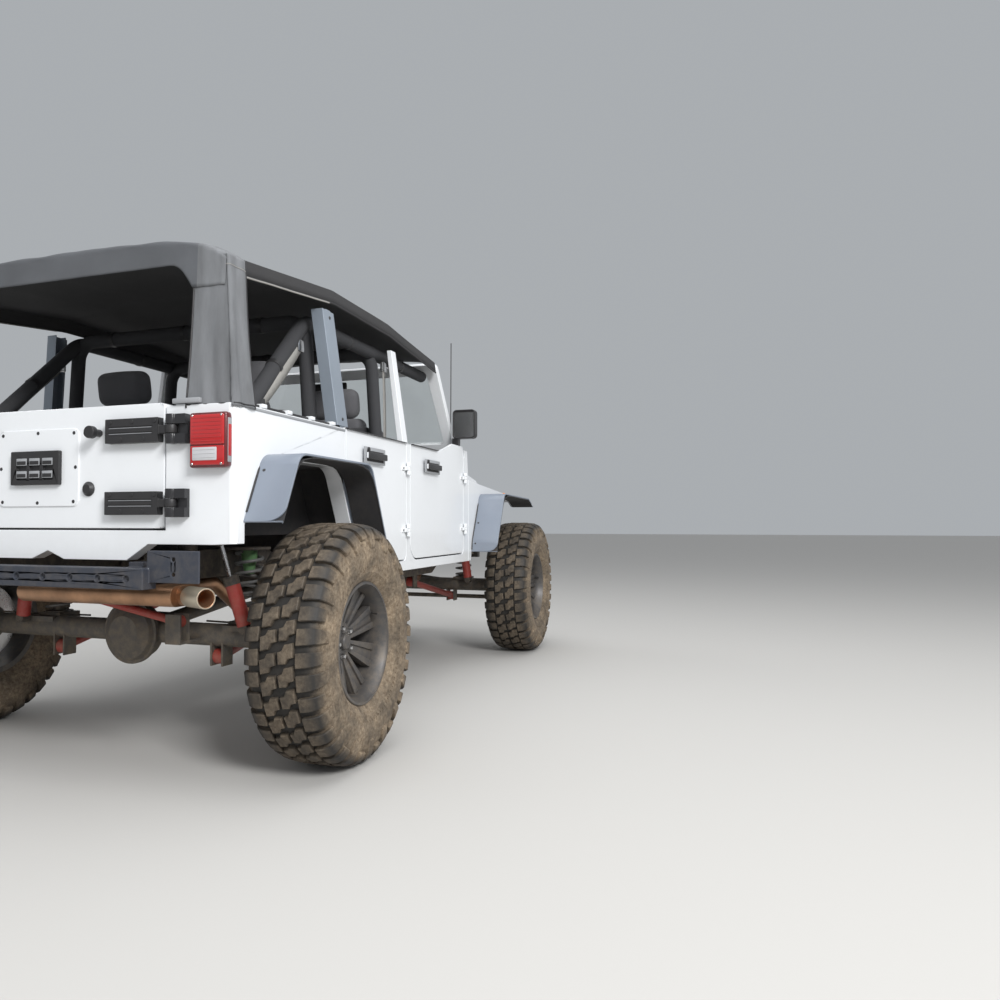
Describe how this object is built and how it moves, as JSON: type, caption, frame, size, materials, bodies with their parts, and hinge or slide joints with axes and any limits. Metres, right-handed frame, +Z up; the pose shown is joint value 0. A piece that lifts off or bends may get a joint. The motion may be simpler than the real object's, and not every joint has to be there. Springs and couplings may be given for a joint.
{
  "type": "lifted off-road 4x4",
  "caption": "Lifted long-wheelbase off-road 4x4 with half doors, open soft top, side-hinged tailgate and mud-terrain tyres.",
  "frame": {"origin": "on the ground, midway between the axles, under the middle of the whole vehicle", "axes": "+X forward, +Y to the vehicle's left, +Z up"},
  "size_m": [4.124, 2.125, 2.0201],
  "materials": {
    "white_paint": "gloss",
    "chassis_black": "satin, dusty",
    "beam_steel": "satin",
    "bumper_black": "textured",
    "axle_iron": "dusty",
    "link_paint": "satin, dusty",
    "shock_paint": "gloss, dusty",
    "exhaust_steel": "heat stained",
    "black_plastic": "grained",
    "clear_glass": "clear",
    "lamp_plastic": "gloss",
    "flare_steel": "satin",
    "grey_steel": "satin",
    "bar_padding": "padded",
    "roof_fabric": "coated twill",
    "rear_fabric": "faded twill",
    "dash_plastic": "grained",
    "seat_fabric": "woven",
    "tyre_rubber": "dusty",
    "rim_paint": "satin"
  },
  "bodies": {
    "chassis": {"frame": "chassis_black", "rear_beam": "beam_steel", "front_bumper": "bumper_black", "axle_front": "axle_iron", "axle_rear": "axle_iron", "suspension_links": "link_paint", "springs_shocks": "shock_paint", "drivetrain": "axle_iron", "exhaust": "exhaust_steel", "fuel_tank": "black_plastic", "floor_pan": "white_paint", "body_sides": "white_paint", "rear_panel": "white_paint", "hinge_leaves": "white_paint", "windshield_frame": "white_paint", "windshield_glass": "clear_glass", "grille": "white_paint", "lamps": "lamp_plastic", "front_fenders": "white_paint", "fender_flares": "flare_steel", "sport_bar": "bar_padding", "soft_top_frame": "grey_steel", "soft_top_roof": "roof_fabric", "soft_top_rear": "rear_fabric", "dashboard": "dash_plastic", "front_seats": "seat_fabric", "rear_seat": "seat_fabric", "antenna": "black_plastic"},
    "hood": {"hood": "white_paint"},
    "tailgate": {"tailgate": "white_paint", "tailgate_hardware": "black_plastic"},
    "steering_wheel": {"steering_wheel": "black_plastic"},
    "tie_rod": {"tie_rod": "axle_iron"},
    "drag_link": {"drag_link": "axle_iron"},
    "pitman_arm": {"pitman_arm": "axle_iron"},
    "knuckle_left": {"knuckle_left": "axle_iron"},
    "door_front_left": {"door_front_left": "white_paint", "mirror_left": "black_plastic"},
    "door_rear_left": {"door_rear_left": "white_paint"},
    "wheel_front_left": {"tyre_front_left": "tyre_rubber", "rim_front_left": "rim_paint"},
    "wheel_rear_left": {"tyre_rear_left": "tyre_rubber", "rim_rear_left": "rim_paint"},
    "knuckle_right": {"knuckle_right": "axle_iron"},
    "door_front_right": {"door_front_right": "white_paint", "mirror_right": "black_plastic"},
    "door_rear_right": {"door_rear_right": "white_paint"},
    "wheel_front_right": {"tyre_front_right": "tyre_rubber", "rim_front_right": "rim_paint"},
    "wheel_rear_right": {"tyre_rear_right": "tyre_rubber", "rim_rear_right": "rim_paint"}
  },
  "joints": [
    {"name": "steer_left", "type": "hinge", "parent": "chassis", "child": "knuckle_left", "pos_m": [1.473, 0.76, 0.45004], "axis": [0, 0, 1], "range_deg": [-30, 30]},
    {"name": "steer_right", "type": "hinge", "parent": "chassis", "child": "knuckle_right", "pos_m": [1.473, -0.76, 0.45004], "axis": [0, 0, 1], "range_deg": [-30, 30]},
    {"name": "spin_front_left", "type": "hinge", "parent": "knuckle_left", "child": "wheel_front_left", "pos_m": [1.473, 0.91, 0.45004], "axis": [0, 1, 0], "continuous": true},
    {"name": "spin_rear_left", "type": "hinge", "parent": "chassis", "child": "wheel_rear_left", "pos_m": [-1.473, 0.91, 0.45004], "axis": [0, 1, 0], "continuous": true},
    {"name": "spin_front_right", "type": "hinge", "parent": "knuckle_right", "child": "wheel_front_right", "pos_m": [1.473, -0.91, 0.45004], "axis": [0, 1, 0], "continuous": true},
    {"name": "spin_rear_right", "type": "hinge", "parent": "chassis", "child": "wheel_rear_right", "pos_m": [-1.473, -0.91, 0.45004], "axis": [0, 1, 0], "continuous": true},
    {"name": "tie_rod_end", "type": "hinge", "parent": "knuckle_left", "child": "tie_rod", "pos_m": [1.623, 0.76, 0.35004], "axis": [0, 0, 1], "range_deg": [-30, 30]},
    {"name": "drag_link_end", "type": "hinge", "parent": "knuckle_right", "child": "drag_link", "pos_m": [1.623, -0.76, 0.40004], "axis": [0, 0, 1], "range_deg": [-30, 30]},
    {"name": "pitman_turn", "type": "hinge", "parent": "chassis", "child": "pitman_arm", "pos_m": [1.473, 0.33, 0.57], "axis": [0, 0, 1], "range_deg": [-30, 30]},
    {"name": "steering_wheel_turn", "type": "hinge", "parent": "chassis", "child": "steering_wheel", "pos_m": [0.25, 0.385, 1.20004], "axis": [-0.9135, 0, 0.4067], "range_deg": [-480, 480]},
    {"name": "door_front_left_hinge", "type": "hinge", "parent": "chassis", "child": "door_front_left", "pos_m": [0.518, 0.803, 1.017], "axis": [0, 0, -1], "range_deg": [0, 68]},
    {"name": "door_rear_left_hinge", "type": "hinge", "parent": "chassis", "child": "door_rear_left", "pos_m": [-0.439, 0.803, 1.017], "axis": [0, 0, -1], "range_deg": [0, 68]},
    {"name": "door_front_right_hinge", "type": "hinge", "parent": "chassis", "child": "door_front_right", "pos_m": [0.518, -0.803, 1.017], "axis": [0, 0, 1], "range_deg": [0, 68]},
    {"name": "door_rear_right_hinge", "type": "hinge", "parent": "chassis", "child": "door_rear_right", "pos_m": [-0.439, -0.803, 1.017], "axis": [0, 0, 1], "range_deg": [0, 68]},
    {"name": "tailgate_hinge", "type": "hinge", "parent": "chassis", "child": "tailgate", "pos_m": [-2, -0.552, 1.093], "axis": [0, 0, 1], "range_deg": [0, 90]},
    {"name": "hood_hinge", "type": "hinge", "parent": "chassis", "child": "hood", "pos_m": [0.604, 0, 1.35504], "axis": [0, -1, 0], "range_deg": [0, 55]}
  ],
  "couplings": [
    {"joint": "steer_right", "follows": "steer_left", "ratio": 1},
    {"joint": "tie_rod_end", "follows": "steer_left", "ratio": -1},
    {"joint": "drag_link_end", "follows": "steer_left", "ratio": -1},
    {"joint": "pitman_turn", "follows": "steer_left", "ratio": 1},
    {"joint": "steering_wheel_turn", "follows": "steer_left", "ratio": 16}
  ]
}
